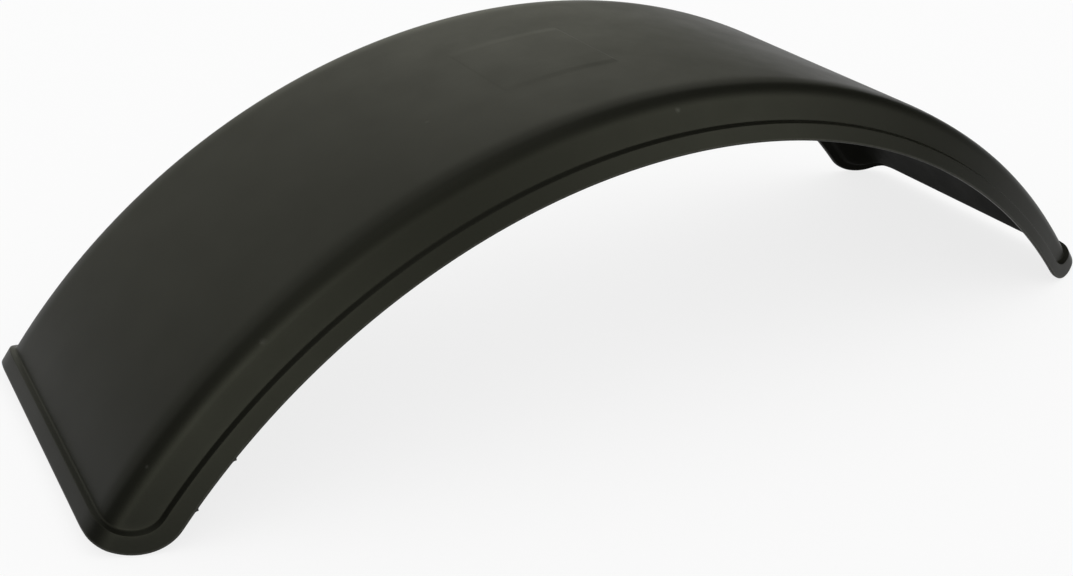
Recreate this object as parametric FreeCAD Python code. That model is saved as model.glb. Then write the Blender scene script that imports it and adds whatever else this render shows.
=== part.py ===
import FreeCAD, Part
import math
import os

# One-piece moulded plastic mudguard for a single trailer wheel. All sizes in millimetres, angles in degrees.
# The arch runs along X, its wheel axis lies along Y, and it stands on the four rounded corners of its skirts.

# Arch
arch_radius = 345.0       # wheel axis to the outer face of the panel, on its middle line
arch_half_angle = 54.8    # from the crest to either end
# Section, from the middle line outwards
panel_width = 144.2       # flat part of the panel
roll_radius = 60.0        # where the panel starts to turn down
roll_angle = 8.0          # slope of the panel where the shoulder begins
shoulder_radius = 11.0    # convex shoulder between panel and skirt
skirt_flare = 27.0        # skirt leaning outwards from the wheel plane
skirt_depth = 23.8        # crest line to the lower edge of the skirt, measured towards the axis
wall = 2.5                # thickness of the moulding
# Rim that is stepped outwards all round the edge
rim_width = 8.0
rim_step = 2.6
corner_radius = 23.0      # lower corners of the skirts, seen from the side

# Cutting blocks reach this far past the edges that they trim, and this far past the faces
reach = 12.0
spare = 2.0

# The wheel axis sits below the floor by this much, so that the lowest corners touch z = 0
corner_orbit = arch_radius - skirt_depth + corner_radius
corner_turn = math.radians(arch_half_angle) - math.asin(corner_radius / corner_orbit)
axis_drop = corner_orbit * math.cos(corner_turn) - corner_radius

axis_direction = FreeCAD.Vector(0, 1, 0)
axis_point = FreeCAD.Vector(0, 0, -axis_drop)


def section_point(y, height):
    """A point of the section at the crest, with the height counted from the wheel axis."""
    return FreeCAD.Vector(0, y, height - axis_drop)


def side_point(radius, angle):
    """A point of the side view, at a radius from the wheel axis and an angle in radians from the crest."""
    return FreeCAD.Vector(radius * math.sin(angle), 0, radius * math.cos(angle) - axis_drop)


def arc(centre, first, last):
    """The shorter arc about a centre, from one point to another."""
    spoke = first - centre
    circle = Part.Circle(centre, spoke.cross(last - centre), spoke.Length)
    return Part.ArcOfCircle(circle, circle.parameter(first), circle.parameter(last)).toShape()


def line(first, last):
    """A straight edge."""
    return Part.LineSegment(first, last).toShape()


def half_section(offset, side):
    """One side of the section line, offset outwards from the outer face, with its top and foot points."""
    centre_y = panel_width / 2
    centre_z = arch_radius
    radius = 0.0
    start = 0.0
    top = section_point(side * centre_y, arch_radius + offset)
    last = top
    edges = []
    for next_radius, end in ((roll_radius, roll_angle), (shoulder_radius, 90 - skirt_flare)):
        centre_y += (radius - next_radius) * math.sin(start)
        centre_z += (radius - next_radius) * math.cos(start)
        radius = next_radius
        start = math.radians(end)
        y = centre_y + (radius + offset) * math.sin(start)
        z = centre_z + (radius + offset) * math.cos(start)
        first = last
        last = section_point(side * y, z)
        edges.append(arc(section_point(side * centre_y, centre_z), first, last))
    drop = last.z + axis_drop - (arch_radius - skirt_depth - reach)
    foot = last + FreeCAD.Vector(0, side * drop * math.tan(math.radians(skirt_flare)), -drop)
    edges.append(line(last, foot))
    return edges, top, foot


def band(inner, outer):
    """The section between two offsets, turned about the wheel axis past both ends of the arch."""
    edges = []
    feet = []
    for offset in (inner, outer):
        far_edges, far_top, far_foot = half_section(offset, 1)
        near_edges, near_top, near_foot = half_section(offset, -1)
        edges += far_edges + near_edges + [line(far_top, near_top)]
        feet.append((far_foot, near_foot))
    edges += [line(*pair) for pair in zip(*feet)]
    face = Part.Face(Part.Wire(Part.__sortEdges__(edges)))
    sweep = 2 * (arch_half_angle + math.degrees(reach / arch_radius))
    face.rotate(axis_point, axis_direction, -sweep / 2)
    return face.revolve(axis_point, axis_direction, sweep)


def outline(inset):
    """The side view of the guard, drawn in from its edge by an inset, as a block across the whole width."""
    end = math.radians(arch_half_angle) - inset / arch_radius
    low = arch_radius - skirt_depth + inset
    high = arch_radius + rim_step + reach
    radius = corner_radius - inset
    orbit = low + radius
    turn = end - math.asin(radius / orbit)
    tangent = math.sqrt(orbit ** 2 - radius ** 2)
    edges = [arc(axis_point, side_point(low, -turn), side_point(low, turn))]
    edges.append(arc(axis_point, side_point(high, -end), side_point(high, end)))
    for side in (1, -1):
        onto_end = side_point(tangent, side * end)
        edges.append(arc(side_point(orbit, side * turn), onto_end, side_point(low, side * turn)))
        edges.append(line(side_point(high, side * end), onto_end))
    face = Part.Face(Part.Wire(Part.__sortEdges__(edges)))
    half_width = panel_width
    face.translate(FreeCAD.Vector(0, -half_width, 0))
    return face.extrude(FreeCAD.Vector(0, 2 * half_width, 0))


def mudguard():
    """The arch with its rim stepped outwards, at one wall thickness throughout."""
    body = band(-wall, rim_step).common(outline(0))
    outer_pocket = band(0, rim_step + spare).common(outline(rim_width))
    inner_pocket = band(-wall - spare, rim_step - wall).cut(outline(rim_width - wall))
    return body.cut(outer_pocket).cut(inner_pocket)


os.makedirs("parts", exist_ok=True)
shape = mudguard()
shape.exportStep("parts/mudguard.step")
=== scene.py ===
import math

import bpy
import numpy as np
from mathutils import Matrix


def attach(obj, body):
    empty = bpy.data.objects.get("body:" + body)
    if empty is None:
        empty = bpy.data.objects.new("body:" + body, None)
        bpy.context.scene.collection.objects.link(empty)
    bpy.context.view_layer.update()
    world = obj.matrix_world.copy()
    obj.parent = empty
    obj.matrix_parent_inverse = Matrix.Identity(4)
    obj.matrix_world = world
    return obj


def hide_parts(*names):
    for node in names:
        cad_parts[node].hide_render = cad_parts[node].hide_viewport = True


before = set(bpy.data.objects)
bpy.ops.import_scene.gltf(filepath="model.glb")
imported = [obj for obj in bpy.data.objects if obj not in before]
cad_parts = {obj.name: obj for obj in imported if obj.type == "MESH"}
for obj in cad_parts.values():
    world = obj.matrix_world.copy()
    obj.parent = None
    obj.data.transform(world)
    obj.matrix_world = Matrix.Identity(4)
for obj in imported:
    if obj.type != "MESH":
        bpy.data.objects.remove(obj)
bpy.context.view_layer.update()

# Sizes of the moulding in metres and radians, the same as in the part's source
ARCH_RADIUS = 0.345
ARCH_HALF_ANGLE = math.radians(54.8)
PANEL_HALF = 0.0721
ROLL_RADIUS = 0.060
ROLL_ANGLE = math.radians(8.0)
SHOULDER_RADIUS = 0.011
SKIRT_FLARE = math.radians(27.0)
SKIRT_DEPTH = 0.0238
WALL = 0.0025
RIM_WIDTH = 0.0080
RIM_STEP = 0.0026
CORNER_RADIUS = 0.023

# The step's hollow foot, rounded crest and slope, along the skirts and across the ends
SKIRT_FOOT, SKIRT_CREST, SKIRT_FACE = 0.0005, 0.0003, math.radians(80)
END_FOOT, END_CREST, END_FACE = 0.0010, 0.0004, math.radians(70)

# Length of the softer step on the inner face, and the rounding of the free edge
INNER_STEP_RUN = 0.0020
EDGE_ROUND = 0.0008

# A low square pad on the crest, from the mould, a little higher at its right border
PAD_ANGLE = math.radians(-6.0)
PAD_HALF = 0.0302
PAD_CORNER = 0.0012
PAD_EDGE = 0.0010
PAD_RISE = 0.00013
PAD_TILT = 0.65

# Two specks of flash on the near lower edge
NIB_ANGLES = (math.radians(-49.2), math.radians(-44.7))
NIB_REACH = 0.0009
NIB_HALF = 0.0006

# Wear of the free edge, on its outer and inner rounding: a lighter colour that is partly real wear and
# partly a painted highlight of the rounded edge
OUTER_EDGE_WEAR_AND_HIGHLIGHT = 1.0
INNER_EDGE_WEAR_AND_HIGHLIGHT = 0.4

# Mesh steps along a lower edge, across an end and round a corner; finer ones by the pad and specks
STEPS_LOW = 110
STEPS_END = 70
STEPS_CORNER = 20
FINE_REACH = 0.0028
FINE_STEP = 0.0004

# How much finer the mesh is where the section turns, in metres for each radian
TURN_WEIGHT = 0.020

# Points on each rounding of the step, on each rounding of the free edge and on the inner step
STEP_ARC_POINTS = 8
EDGE_ARC_POINTS = 7
INNER_STEP_POINTS = 9

# Insets of the plain rings: round the fields, beside the step, over the rim, and inside it
FIELD_INSET = 0.0140
FOOT_RING_SKIRT, FOOT_RING_END = 0.0110, 0.0122
RIM_RINGS = (0.0060, 0.0038, 0.0020, 0.0013)
LIP_RINGS = (0.0012, 0.0022, 0.0040)
INNER_RINGS = (0.0085, 0.0115, FIELD_INSET)

# The section's table: how far it runs down past the shoulder, and its number of points
TABLE_SPARE = 0.05
TABLE_POINTS = 6000

CORNER_ORBIT = ARCH_RADIUS - SKIRT_DEPTH + CORNER_RADIUS
CORNER_TURN = ARCH_HALF_ANGLE - math.asin(CORNER_RADIUS / CORNER_ORBIT)
AXIS_DROP = CORNER_ORBIT * math.cos(CORNER_TURN) - CORNER_RADIUS

SKIRT_SLOPE = math.pi / 2 - SKIRT_FLARE
ROLL_LENGTH = ROLL_RADIUS * ROLL_ANGLE
SHOULDER_LENGTH = SHOULDER_RADIUS * (SKIRT_SLOPE - ROLL_ANGLE)
SHOULDER_START = PANEL_HALF + ROLL_LENGTH
SKIRT_START = SHOULDER_START + SHOULDER_LENGTH

# A skirt corner starts no higher than this length along the section, just past the shoulder's start
CORNER_TOP_RUN = 0.0013
CORNER_TOP = SHOULDER_START + CORNER_TOP_RUN


def ease(t):
    """A smooth step from 0 to 1."""
    return t * t * (3 - 2 * t)


def section(along):
    """Distance from the middle line, height from the crest and tilt, at a length along the section."""
    s = np.abs(along)
    roll = np.clip(s - PANEL_HALF, 0, ROLL_LENGTH) / ROLL_RADIUS
    turn = np.clip(s - SHOULDER_START, 0, SHOULDER_LENGTH) / SHOULDER_RADIUS
    tilt = roll + turn
    run = np.maximum(s - SKIRT_START, 0)
    y = np.minimum(s, PANEL_HALF) + ROLL_RADIUS * np.sin(roll)
    h = ROLL_RADIUS * (np.cos(roll) - 1)
    y = y + SHOULDER_RADIUS * (np.sin(tilt) - np.sin(roll)) + run * math.cos(SKIRT_SLOPE)
    h = h + SHOULDER_RADIUS * (np.cos(tilt) - np.cos(roll)) - run * math.sin(SKIRT_SLOPE)
    return y, h, tilt


TABLE_ALONG = np.linspace(0, SKIRT_START + TABLE_SPARE, TABLE_POINTS)
_, TABLE_HEIGHT, TABLE_TILT = section(TABLE_ALONG)
TABLE_SPREAD = TABLE_ALONG + TURN_WEIGHT * TABLE_TILT


def spread(along):
    """Length along the section, stretched where the section turns, so that the mesh is finer there."""
    return np.sign(along) * np.interp(np.abs(along), TABLE_ALONG, TABLE_SPREAD)


def unspread(stretched):
    """The length along the section that belongs to a stretched length."""
    return np.sign(stretched) * np.interp(np.abs(stretched), TABLE_SPREAD, TABLE_ALONG)


def along_at(radius, offset):
    """Length along the section at which the face with that offset has that radius from the wheel axis."""
    radii = ARCH_RADIUS + TABLE_HEIGHT + offset * np.cos(TABLE_TILT)
    return np.interp(-radius, -radii, TABLE_ALONG)


def surface(theta, along, offset):
    """Points of the guard at an angle from the crest, a signed length along the section and an offset."""
    y, h, tilt = section(along)
    radius = ARCH_RADIUS + h + offset * np.cos(tilt)
    y = np.sign(along) * (y + offset * np.sin(tilt))
    return np.stack([radius * np.sin(theta), y, radius * np.cos(theta) - AXIS_DROP], -1)


def shares(steps, places, span):
    """Even shares from 1 to -1 of a span, with finer ones on both sides of some places."""
    reach, step = FINE_REACH / span, FINE_STEP / span
    even = np.linspace(-1, 1, steps + 1)
    near = np.min(np.abs(even[:, None] - np.array(places)[None]), 1)
    coarse = even[(near > reach) | (np.abs(even) == 1)]
    fine = [place + np.arange(-reach, reach + step / 2, step) for place in places]
    return np.sort(np.concatenate([coarse, *fine]))[::-1]


PAD_ENDS = [PAD_ANGLE + side * PAD_HALF / ARCH_RADIUS for side in (-1, 1)]
LOW_PLACES = [angle / CORNER_TURN for angle in (*PAD_ENDS, *NIB_ANGLES)]
LOW_SHARES = shares(STEPS_LOW, LOW_PLACES, CORNER_TURN * ARCH_RADIUS)
END_SPAN = float(spread(SKIRT_START))
END_PLACES = [-PAD_HALF / END_SPAN, PAD_HALF / END_SPAN]
END_SHARES = shares(STEPS_END, END_PLACES, END_SPAN)
N_LOW = len(LOW_SHARES) - 1
N_END = len(END_SHARES) - 1
HALF_CORNER = STEPS_CORNER // 2


def corner_places(inset, offset):
    """The far right skirt corner from the end to the lower edge: its turn, then its angles and lengths."""
    radius = CORNER_RADIUS - inset
    orbit = ARCH_RADIUS - SKIRT_DEPTH + inset + radius
    turn = ARCH_HALF_ANGLE - inset / ARCH_RADIUS - math.asin(radius / orbit)
    _, drop, tilt = section(CORNER_TOP)
    top = min(math.sqrt(orbit ** 2 - radius ** 2), ARCH_RADIUS + drop + offset * math.cos(tilt))
    reach = math.acos((top ** 2 - orbit ** 2 - radius ** 2) / (2 * orbit * radius))
    phi = np.linspace(math.pi / 2 - turn - reach, -math.pi / 2 - turn, STEPS_CORNER + 1)
    x = orbit * math.sin(turn) + radius * np.cos(phi)
    z = orbit * math.cos(turn) + radius * np.sin(phi)
    return turn, np.arctan2(x, z), along_at(np.hypot(x, z), offset)


def ring_sides(inset, offset):
    """An end from near to far and the far lower edge from right to left, each as angles and lengths."""
    turn, theta, along = corner_places(inset, offset)
    end_theta = np.full(N_END + 1, theta[0])
    end_along = unspread(-spread(along[0]) * END_SHARES)
    up, down = slice(HALF_CORNER, 0, -1), slice(1, HALF_CORNER + 1)
    side_theta = np.concatenate([theta[up], end_theta, theta[down]])
    side_along = np.concatenate([-along[up], end_along, along[down]])
    low_theta = turn * LOW_SHARES
    low_along = np.full(N_LOW + 1, along[-1])
    first, last = slice(HALF_CORNER, STEPS_CORNER), slice(STEPS_CORNER - 1, HALF_CORNER - 1, -1)
    edge_theta = np.concatenate([theta[first], low_theta, -theta[last]])
    edge_along = np.concatenate([along[first], low_along, along[last]])
    return (side_theta, side_along), (edge_theta, edge_along)


def ring_loop(side, edge, side_sign=1, edge_sign=1):
    """Values on an end and a lower edge, repeated round the closed loop."""
    return np.concatenate([side[:-1], edge[:-1], side_sign * side[::-1][:-1], edge_sign * edge[::-1][:-1]])


def end_weights():
    """1 across the ends and 0 along the lower edges, blended round the corners."""
    corner = ease(np.linspace(1, 0, STEPS_CORNER + 1))
    side = np.concatenate([corner[HALF_CORNER:0:-1], np.ones(N_END + 1), corner[1:HALF_CORNER + 1]])
    back = corner[STEPS_CORNER - 1:HALF_CORNER - 1:-1]
    edge = np.concatenate([corner[HALF_CORNER:-1], np.zeros(N_LOW + 1), back])
    return ring_loop(side, edge)


def ring_places(inset, offset):
    """Angles and lengths along the section round one closed loop."""
    (side_theta, side_along), (edge_theta, edge_along) = ring_sides(inset, offset)
    return ring_loop(side_theta, edge_theta, -1, 1), ring_loop(side_along, edge_along, 1, -1)


def nib_shift(theta, along):
    """How far the specks of flash stand out of the near lower edge."""
    shift = np.zeros_like(theta)
    for angle in NIB_ANGLES:
        shift += NIB_REACH * np.exp(-((theta - angle) * ARCH_RADIUS / NIB_HALF) ** 2)
    return np.where(along < 0, shift, 0.0)


def ring_points(skirt, end, weights):
    """A closed loop that has one inset and offset along the skirts and another across the ends."""
    theta_low, along_low = ring_places(*skirt)
    theta_end, along_end = ring_places(*end)
    theta = theta_low + weights * (theta_end - theta_low)
    along = along_low + weights * (along_end - along_low)
    offset = skirt[1] + weights * (end[1] - skirt[1])
    points = surface(theta, along, offset)
    if skirt[0] < EDGE_ROUND:
        shift = nib_shift(theta, along) * (1 - skirt[0] / EDGE_ROUND)
        points -= shift[:, None] * np.stack([np.sin(theta), 0 * theta, np.cos(theta)], -1)
    return points


def pad_rise(theta, along):
    """Height of the low square pad over the panel."""
    across = (theta - PAD_ANGLE) * ARCH_RADIUS
    x = np.abs(across) - PAD_HALF + PAD_CORNER
    y = np.abs(along) - PAD_HALF + PAD_CORNER
    outside = np.hypot(np.maximum(x, 0), np.maximum(y, 0)) + np.minimum(np.maximum(x, y), 0) - PAD_CORNER
    share = ease(np.clip(0.5 - outside / PAD_EDGE, 0, 1))
    return PAD_RISE * share * (1 + PAD_TILT * np.clip(across / PAD_HALF, -1, 1))


def field_points(offset):
    """Grid over the face inside the innermost ring, blended between its four sides."""
    (side_theta, side_along), (edge_theta, edge_along) = ring_sides(FIELD_INSET, offset)
    right = np.stack([side_theta, spread(side_along)], -1)
    left = right * [-1, 1]
    far = np.stack([edge_theta, spread(edge_along)], -1)[::-1]
    near = far * [1, -1]
    u = ((far[:, 0] - far[0, 0]) / (far[-1, 0] - far[0, 0]))[:, None, None]
    v = ((right[:, 1] - right[0, 1]) / (right[-1, 1] - right[0, 1]))[None, :, None]
    grid = (1 - v) * near[:, None] + v * far[:, None] + (1 - u) * left[None] + u * right[None]
    grid -= (1 - u) * (1 - v) * near[0] + u * (1 - v) * near[-1] + (1 - u) * v * far[0] + u * v * far[-1]
    theta, along = grid[..., 0], unspread(grid[..., 1])
    rise = pad_rise(theta, along) if offset == 0 else 0.0
    return surface(theta, along, offset + rise)


def step_curve(foot, crest, slope):
    """Run and rise of the step: a hollow foot, a straight face and a rounded crest."""
    turn = np.linspace(0, slope, STEP_ARC_POINTS)
    face = (RIM_STEP - (foot + crest) * (1 - math.cos(slope))) / math.sin(slope)
    run, rise = foot * np.sin(turn), foot * (1 - np.cos(turn))
    back = turn[::-1]
    top_run = run[-1] + face * math.cos(slope) + crest * (math.sin(slope) - np.sin(back))
    top_rise = rise[-1] + face * math.sin(slope) + crest * (np.cos(back) - math.cos(slope))
    return np.concatenate([run, top_run]), np.concatenate([rise, top_rise])


def step_rings():
    """Rings from the outer field over the step: places along skirts, places across ends, and edge wear with
    its painted highlight.
    """
    run, rise = step_curve(SKIRT_FOOT, SKIRT_CREST, SKIRT_FACE)
    end_run, end_rise = step_curve(END_FOOT, END_CREST, END_FACE)
    skirt_inset = RIM_WIDTH + run[-1] / 2 - run
    end_inset = RIM_WIDTH + end_run[-1] - end_run
    rings = [((FIELD_INSET, 0.0), (FIELD_INSET, 0.0), 0.0)]
    rings.append(((FOOT_RING_SKIRT, 0.0), (FOOT_RING_END, 0.0), 0.0))
    for place in zip(zip(skirt_inset, rise), zip(end_inset, end_rise)):
        rings.append((*place, 0.0))
    return rings


def rim_profile():
    """Rings over the step and round the free edge, then those of the inner face."""
    turn = np.linspace(0, math.pi / 2, EDGE_ARC_POINTS)
    arc_in, arc_out = EDGE_ROUND * (1 - np.sin(turn)), EDGE_ROUND * (1 - np.cos(turn))
    inner = RIM_STEP - WALL
    rim = [((d, RIM_STEP), 0.0) for d in RIM_RINGS]
    rim += [((d, RIM_STEP - o), OUTER_EDGE_WEAR_AND_HIGHLIGHT) for d, o in zip(arc_in, arc_out)]
    rim += [((d, inner + o), INNER_EDGE_WEAR_AND_HIGHLIGHT) for d, o in zip(arc_in[::-1], arc_out[::-1])]
    outside = step_rings() + [(place, place, wear_and_highlight) for place, wear_and_highlight in rim]
    t = np.linspace(0, 1, INNER_STEP_POINTS)
    inside = [(d, inner) for d in LIP_RINGS]
    inside += list(zip(RIM_WIDTH - WALL + INNER_STEP_RUN * (t - 0.5), inner - RIM_STEP * ease(t)))
    inside += [(d, -WALL) for d in INNER_RINGS]
    return outside, [(place, place, 0.0) for place in inside]


def field_faces(ring_start, count, base, flip):
    """Quads of one field, with its border taken from a ring of the rim."""
    columns, rows = N_LOW + STEPS_CORNER, N_END + STEPS_CORNER
    index = np.zeros((columns + 1, rows + 1), int)
    index[1:-1, 1:-1] = base + np.arange((columns - 1) * (rows - 1)).reshape(columns - 1, rows - 1)
    i, j = np.arange(columns + 1), np.arange(rows + 1)
    index[-1, :] = ring_start + j
    index[:, -1] = ring_start + rows + columns - i
    index[0, :] = ring_start + rows + columns + rows - j
    index[:, 0] = ring_start + (2 * rows + columns + i) % count
    quad = [index[:-1, :-1], index[1:, :-1], index[1:, 1:], index[:-1, 1:]]
    if flip:
        quad.reverse()
    return np.stack(quad, -1).reshape(-1, 4)


def band_faces(ring, count):
    """Quads between one ring of the rim and the next."""
    start, following = ring * count, (ring + 1) * count
    loop = np.arange(count)
    after = np.roll(loop, -1)
    return np.stack([start + loop, following + loop, following + after, start + after], -1)


def skin_object(points, faces, finish_and_painted_shade, wear_and_highlight):
    """A smooth mesh object with a material for each face, the inner one darker as painted shade, and the
    edge wear and painted edge highlight at each point.
    """
    mesh = bpy.data.meshes.new("mudguard_skin")
    mesh.from_pydata(np.concatenate(points).tolist(), [], np.concatenate(faces).tolist())
    mesh.polygons.foreach_set("use_smooth", np.ones(len(mesh.polygons), bool))
    mesh.polygons.foreach_set("material_index", np.concatenate(finish_and_painted_shade).astype(np.int32))
    layer = mesh.attributes.new("edge_wear_and_highlight", "FLOAT", "POINT")
    layer.data.foreach_set("value", np.concatenate(wear_and_highlight).astype(np.float32))
    mesh.update()
    skin = bpy.data.objects.new("mudguard_skin", mesh)
    bpy.context.scene.collection.objects.link(skin)
    return skin


def build_guard():
    """One closed skin: outer field, stepped rim, free edge and inner field."""
    outside, inside = rim_profile()
    profile = outside + inside
    weights = end_weights()
    count = len(weights)
    points = [ring_points(skirt, end, weights) for skirt, end, wear_and_highlight in profile]
    wear_and_highlight = [np.full(count, wear_and_highlight) for skirt, end, wear_and_highlight in profile]
    faces = [band_faces(ring, count) for ring in range(len(profile) - 1)]
    # Faces from the inner rounding of the free edge on get the inner plastic, whose colour is darker as
    # painted shade
    finish_and_painted_shade = [np.full(count, int(ring >= len(outside) - 1)) for ring in range(len(profile) - 1)]
    base = len(profile) * count
    for side, (ring, offset) in enumerate(((0, 0.0), (len(profile) - 1, -WALL))):
        field = field_points(offset)[1:-1, 1:-1].reshape(-1, 3)
        faces.append(field_faces(ring * count, count, base, side == 1))
        finish_and_painted_shade.append(np.full(len(faces[-1]), side))
        points.append(field)
        wear_and_highlight.append(np.zeros(len(field)))
        base += len(field)
    return skin_object(points, faces, finish_and_painted_shade, wear_and_highlight)


class Nodes:
    """Short calls for building a node tree."""

    def __init__(self, tree):
        self.tree = tree
        tree.nodes.clear()

    def add(self, kind, **values):
        node = self.tree.nodes.new(kind)
        for key, value in values.items():
            setattr(node, key, value)
        return node

    def link(self, source, target):
        self.tree.links.new(source, target)

    def noise(self, vector, scale, detail, rough):
        node = self.add("ShaderNodeTexNoise")
        node.inputs["Scale"].default_value = scale
        node.inputs["Detail"].default_value = detail
        node.inputs["Roughness"].default_value = rough
        self.link(vector, node.inputs["Vector"])
        return node.outputs["Fac"]

    def remap(self, value, low, high, to_low, to_high):
        node = self.add("ShaderNodeMapRange")
        for name, number in zip(("From Min", "From Max", "To Min", "To Max"), (low, high, to_low, to_high)):
            node.inputs[name].default_value = number
        self.link(value, node.inputs["Value"])
        return node.outputs["Result"]

    def math(self, operation, *values):
        node = self.add("ShaderNodeMath", operation=operation)
        for socket, value in zip(node.inputs, values):
            if isinstance(value, (int, float)):
                socket.default_value = value
            else:
                self.link(value, socket)
        return node.outputs["Value"]

    def ramp(self, value, dark, light):
        node = self.add("ShaderNodeValToRGB")
        for element, colour in zip(node.color_ramp.elements, (dark, light)):
            element.color = (*colour, 1)
        self.link(value, node.inputs["Fac"])
        return node.outputs["Color"]

    def blend(self, share, colour, other):
        node = self.add("ShaderNodeMixRGB")
        self.link(share, node.inputs["Fac"])
        self.link(colour, node.inputs["Color1"])
        node.inputs["Color2"].default_value = (*other, 1)
        return node.outputs["Color"]

    def background(self, colour, strength):
        node = self.add("ShaderNodeBackground")
        node.inputs["Color"].default_value = (*colour, 1)
        if isinstance(strength, float):
            node.inputs["Strength"].default_value = strength
        else:
            self.link(strength, node.inputs["Strength"])
        return node.outputs["Background"]

    def mix(self, share, first, second):
        node = self.add("ShaderNodeMixShader")
        self.link(share, node.inputs["Fac"])
        self.link(first, node.inputs[1])
        self.link(second, node.inputs[2])
        return node.outputs["Shader"]


WHITE = (1.0, 1.0, 1.0)

# Colours of the plastic, with the roughness range and specular level of each face
OUTER_DARK, OUTER_LIGHT = (0.0036, 0.0037, 0.0027), (0.0052, 0.0053, 0.0040)
# The inner face's colours are darker than the outer ones as painted shade of the underside
INNER_DARK_PAINTED_SHADE, INNER_LIGHT_PAINTED_SHADE = (0.0022, 0.0022, 0.0016), (0.0034, 0.0034, 0.0025)
# Lighter colour of wear: real wear in the scuffs, and on the free edge partly wear and partly a painted
# highlight
WORN_AND_HIGHLIGHT_COLOUR = (0.050, 0.050, 0.044)
OUTER_ROUGHNESS, OUTER_SPECULAR = (0.35, 0.41), 0.10
INNER_ROUGHNESS, INNER_SPECULAR = (0.60, 0.70), 0.04
GLOSS_TINT = (0.98, 1.0, 0.89)
PLASTIC_IOR = 1.5

# Noises of the plastic: scale, detail and roughness
BLOTCH_NOISE = (22.0, 4.0, 0.55)
SPECK_NOISE = (900.0, 2.0, 0.6)
GLOSS_NOISE = (35.0, 5.0, 0.6)
GRAIN_NOISE = (1400.0, 2.0, 0.5)
RAGGED_NOISE = (420.0, 3.0, 0.6)

# The part of each noise's range that is used, and the blotches' and specks' shares of the tone
NOISE_RANGE = (0.3, 0.7)
SPECK_RANGE = (0.4, 0.7)
RAGGED_RANGE = (0.35, 0.65)
BLOTCH_SHARE, SPECK_SHARE = 0.6, 0.4

# Height of the moulded grain
GRAIN_STRENGTH = 0.12
GRAIN_DISTANCE = 0.0002

# Strength of the edge's wear and painted highlight, its least share where it is broken, and the solid middle
# of a scuff
EDGE_WEAR_AND_HIGHLIGHT = 0.70
EDGE_WEAR_AND_HIGHLIGHT_LEAST = 0.5
SCUFF_MIDDLE = 0.3

# Scuffs on the outer face: degrees from the crest, length along the section, radius, strength
SCUFFS = (
    (-37.3, -0.0884, 0.0019, 0.65),
    (-1.6, -0.0908, 0.0017, 0.75),
    (-17.6, -0.0268, 0.0015, 0.55),
    (36.1, -0.1050, 0.0018, 0.75),
    (-48.6, -0.0854, 0.0010, 0.60),
    (-54.0, -0.0224, 0.0010, 0.60),
)


def wear_and_highlight_share(n, place):
    """How worn the face is, as a lighter colour: along the free edge, where the wear is partly a painted
    highlight, and in a few small scuffs with ragged borders.
    """
    ragged = n.remap(n.noise(place, *RAGGED_NOISE), *RAGGED_RANGE, 0.0, 1.0)
    edge = n.add("ShaderNodeAttribute", attribute_name="edge_wear_and_highlight").outputs["Fac"]
    broken = n.remap(ragged, 0.0, 1.0, EDGE_WEAR_AND_HIGHLIGHT_LEAST, 1.0)
    total = n.math("MULTIPLY", n.math("MULTIPLY", edge, EDGE_WEAR_AND_HIGHLIGHT), broken)
    for degrees, along, radius, strength in SCUFFS:
        centre = surface(np.radians(degrees), np.array(along), 0.0)
        away = n.add("ShaderNodeVectorMath", operation="DISTANCE")
        n.link(place, away.inputs[0])
        away.inputs[1].default_value = centre.tolist()
        spot = n.remap(away.outputs["Value"], SCUFF_MIDDLE * radius, radius, strength, 0.0)
        total = n.math("ADD", total, n.math("MULTIPLY", spot, ragged))
    return n.math("MINIMUM", total, 1.0)


def grain_normal(n, place):
    """The fine grain of the mould as a bump."""
    bump = n.add("ShaderNodeBump")
    bump.inputs["Strength"].default_value = GRAIN_STRENGTH
    bump.inputs["Distance"].default_value = GRAIN_DISTANCE
    n.link(n.noise(place, *GRAIN_NOISE), bump.inputs["Height"])
    return bump.outputs["Normal"]


def plastic(name, dark, light, roughness, specular, worn_and_highlit):
    """Satin black moulded plastic with a fine grain, faint blotches, an uneven gloss and, outside, wear with
    a painted highlight on the free edge.
    """
    material = bpy.data.materials.new(name)
    material.use_nodes = True
    n = Nodes(material.node_tree)
    place = n.add("ShaderNodeTexCoord").outputs["Object"]
    shader = n.add("ShaderNodeBsdfPrincipled")
    out = n.add("ShaderNodeOutputMaterial")
    n.link(shader.outputs["BSDF"], out.inputs["Surface"])
    blotch = n.remap(n.noise(place, *BLOTCH_NOISE), *NOISE_RANGE, 0.0, BLOTCH_SHARE)
    speck = n.remap(n.noise(place, *SPECK_NOISE), *SPECK_RANGE, 0.0, SPECK_SHARE)
    colour = n.ramp(n.math("ADD", blotch, speck), dark, light)
    # Wear in the scuffs, and on the free edge wear with a painted highlight, mixed in as a lighter colour
    if worn_and_highlit:
        colour = n.blend(wear_and_highlight_share(n, place), colour, WORN_AND_HIGHLIGHT_COLOUR)
    n.link(colour, shader.inputs["Base Color"])
    gloss = n.noise(place, *GLOSS_NOISE)
    n.link(n.remap(gloss, *NOISE_RANGE, *roughness), shader.inputs["Roughness"])
    shader.inputs["IOR"].default_value = PLASTIC_IOR
    shader.inputs["Specular IOR Level"].default_value = specular
    shader.inputs["Specular Tint"].default_value = (*GLOSS_TINT, 1)
    n.link(grain_normal(n, place), shader.inputs["Normal"])
    return material


def seen(n):
    """1 for camera, glossy and transmission rays, which show the background."""
    path = n.add("ShaderNodeLightPath").outputs
    total = n.math("ADD", path["Is Camera Ray"], path["Is Glossy Ray"])
    return n.math("MINIMUM", n.math("ADD", total, path["Is Transmission Ray"]), 1.0)


# Half width of the floor, its place just under the object, its colour, and its lift towards white where seen
FLOOR_HALF = 6.0
FLOOR_DROP = 0.0002
FLOOR_COLOUR = (0.9, 0.9, 0.9)
FLOOR_LIFT = 0.8


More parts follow.
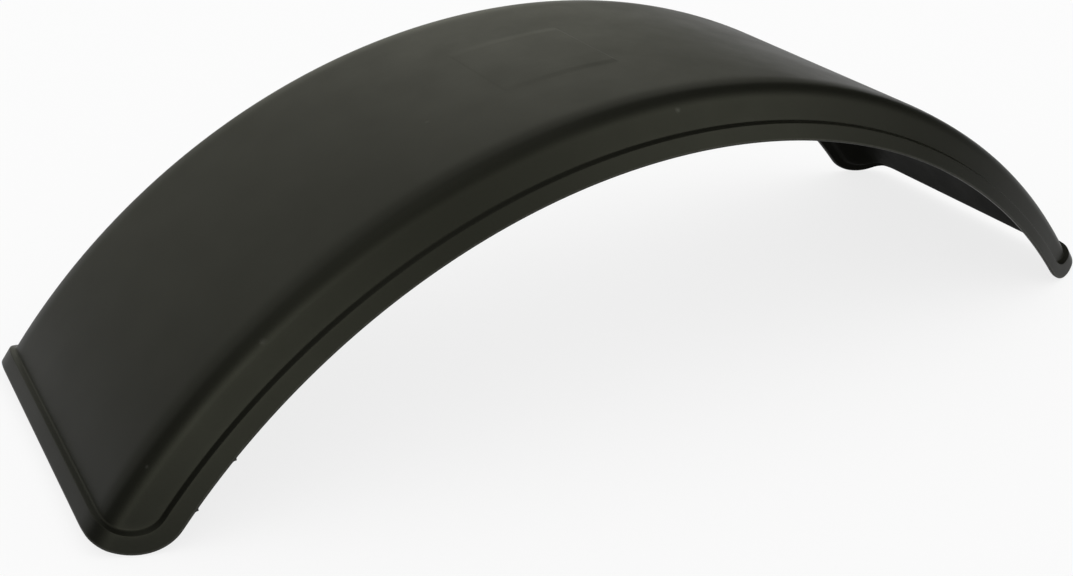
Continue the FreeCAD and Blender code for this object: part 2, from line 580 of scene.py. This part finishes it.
def floor_material():
    """Matt white that shows brighter where it is seen, and keeps the shadow."""
    material = bpy.data.materials.new("white_floor")
    material.use_nodes = True
    n = Nodes(material.node_tree)
    diffuse = n.add("ShaderNodeBsdfDiffuse")
    diffuse.inputs["Color"].default_value = (*FLOOR_COLOUR, 1)
    glow = n.add("ShaderNodeEmission")
    glow.inputs["Color"].default_value = (*WHITE, 1)
    lift = n.math("MULTIPLY", seen(n), FLOOR_LIFT)
    out = n.add("ShaderNodeOutputMaterial")
    n.link(n.mix(lift, diffuse.outputs["BSDF"], glow.outputs["Emission"]), out.inputs["Surface"])
    return material


def make_floor():
    """A plain white floor."""
    mesh = bpy.data.meshes.new("floor")
    h = FLOOR_HALF
    mesh.from_pydata([(-h, -h, 0), (h, -h, 0), (h, h, 0), (-h, h, 0)], [], [(0, 1, 2, 3)])
    mesh.materials.append(floor_material())
    floor = bpy.data.objects.new("floor", mesh)
    bpy.context.scene.collection.objects.link(floor)
    floor.location.z = -FLOOR_DROP


# Soft lights of the studio: degrees round from behind towards the right, degrees up, sharpness, strength
SOFT_LIGHTS = {
    "front_left": (-149, 19, 14, 7.3),
    "front_right": (143, 30, 14, 5.8),
    "back_left": (-27, 22, 14, 0.88),
    "back_right": (16, 16, 14, 1.4),
    "overhead": (-75, 72, 5, 1.6),
}
LIGHT_TINT = (1.0, 1.0, 0.86)

# Sine of the elevation over which the white horizon fades, and the strength of the even light
HORIZON_LOW, HORIZON_HIGH = 0.0, 0.035
AMBIENT = 0.95


def soft_light(n, direction, turn, up, sharpness, strength):
    """Brightness of one round soft light in a direction."""
    turn, up = math.radians(turn), math.radians(up)
    level = math.cos(up)
    dot = n.add("ShaderNodeVectorMath", operation="DOT_PRODUCT")
    n.link(direction, dot.inputs[0])
    dot.inputs[1].default_value = (level * math.sin(turn), level * math.cos(turn), math.sin(up))
    fall = n.math("MULTIPLY", n.math("SUBTRACT", dot.outputs["Value"], 1.0), sharpness)
    return n.math("MULTIPLY", n.math("EXPONENT", fall), strength)


def white_strength(n, direction):
    """Strength of the white that is seen: all round for the camera, near the horizon in reflections."""
    split = n.add("ShaderNodeSeparateXYZ")
    n.link(direction, split.inputs["Vector"])
    horizon = n.remap(split.outputs["Z"], HORIZON_LOW, HORIZON_HIGH, 1.0, 0.0)
    return n.math("MAXIMUM", horizon, n.add("ShaderNodeLightPath").outputs["Is Camera Ray"])


def make_world():
    """Even studio light, shown as a white background and horizon with a few soft lights above it."""
    world = bpy.data.worlds.new("studio")
    bpy.context.scene.world = world
    world.use_nodes = True
    n = Nodes(world.node_tree)
    direction = n.add("ShaderNodeTexCoord").outputs["Generated"]
    total = 0.0
    for light in SOFT_LIGHTS.values():
        total = n.math("ADD", soft_light(n, direction, *light), total)
    shown = n.add("ShaderNodeAddShader")
    n.link(n.background(WHITE, white_strength(n, direction)), shown.inputs[0])
    n.link(n.background(LIGHT_TINT, total), shown.inputs[1])
    out = n.add("ShaderNodeOutputWorld")
    n.link(n.mix(seen(n), n.background(WHITE, AMBIENT), shown.outputs["Shader"]), out.inputs["Surface"])
    world.cycles.sampling_method = "NONE"


# The photograph's viewpoint: place in metres, turn in degrees, lens and sensor in millimetres
CAMERA_PLACE = (-0.36269, -0.60007, 0.36103)
CAMERA_TURN = (64.505, -2.108, -33.075)
CAMERA_LENS = 48.626
CAMERA_SENSOR = 36.0
CAMERA_SHIFT = (-0.11337, -0.01748)
CAMERA_NEAREST = 0.01


def make_camera():
    """A camera at the photograph's viewpoint."""
    data = bpy.data.cameras.new("camera")
    data.sensor_width = CAMERA_SENSOR
    data.lens = CAMERA_LENS
    data.shift_x, data.shift_y = CAMERA_SHIFT
    data.clip_start = CAMERA_NEAREST
    camera = bpy.data.objects.new("camera", data)
    bpy.context.scene.collection.objects.link(camera)
    camera.location = CAMERA_PLACE
    camera.rotation_euler = [math.radians(a) for a in CAMERA_TURN]
    bpy.context.scene.camera = camera


guard = build_guard()
outer = plastic("satin_black_plastic", OUTER_DARK, OUTER_LIGHT, OUTER_ROUGHNESS, OUTER_SPECULAR, True)
# The inner face's plastic, its colours darker as painted shade of the underside
inner = plastic("dull_black_plastic_painted_shade", INNER_DARK_PAINTED_SHADE, INNER_LIGHT_PAINTED_SHADE, INNER_ROUGHNESS, INNER_SPECULAR, False)
guard.data.materials.append(outer)
guard.data.materials.append(inner)
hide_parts("mudguard")
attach(guard, "root")

make_floor()
make_world()
make_camera()
bpy.context.scene.view_settings.view_transform = "Standard"
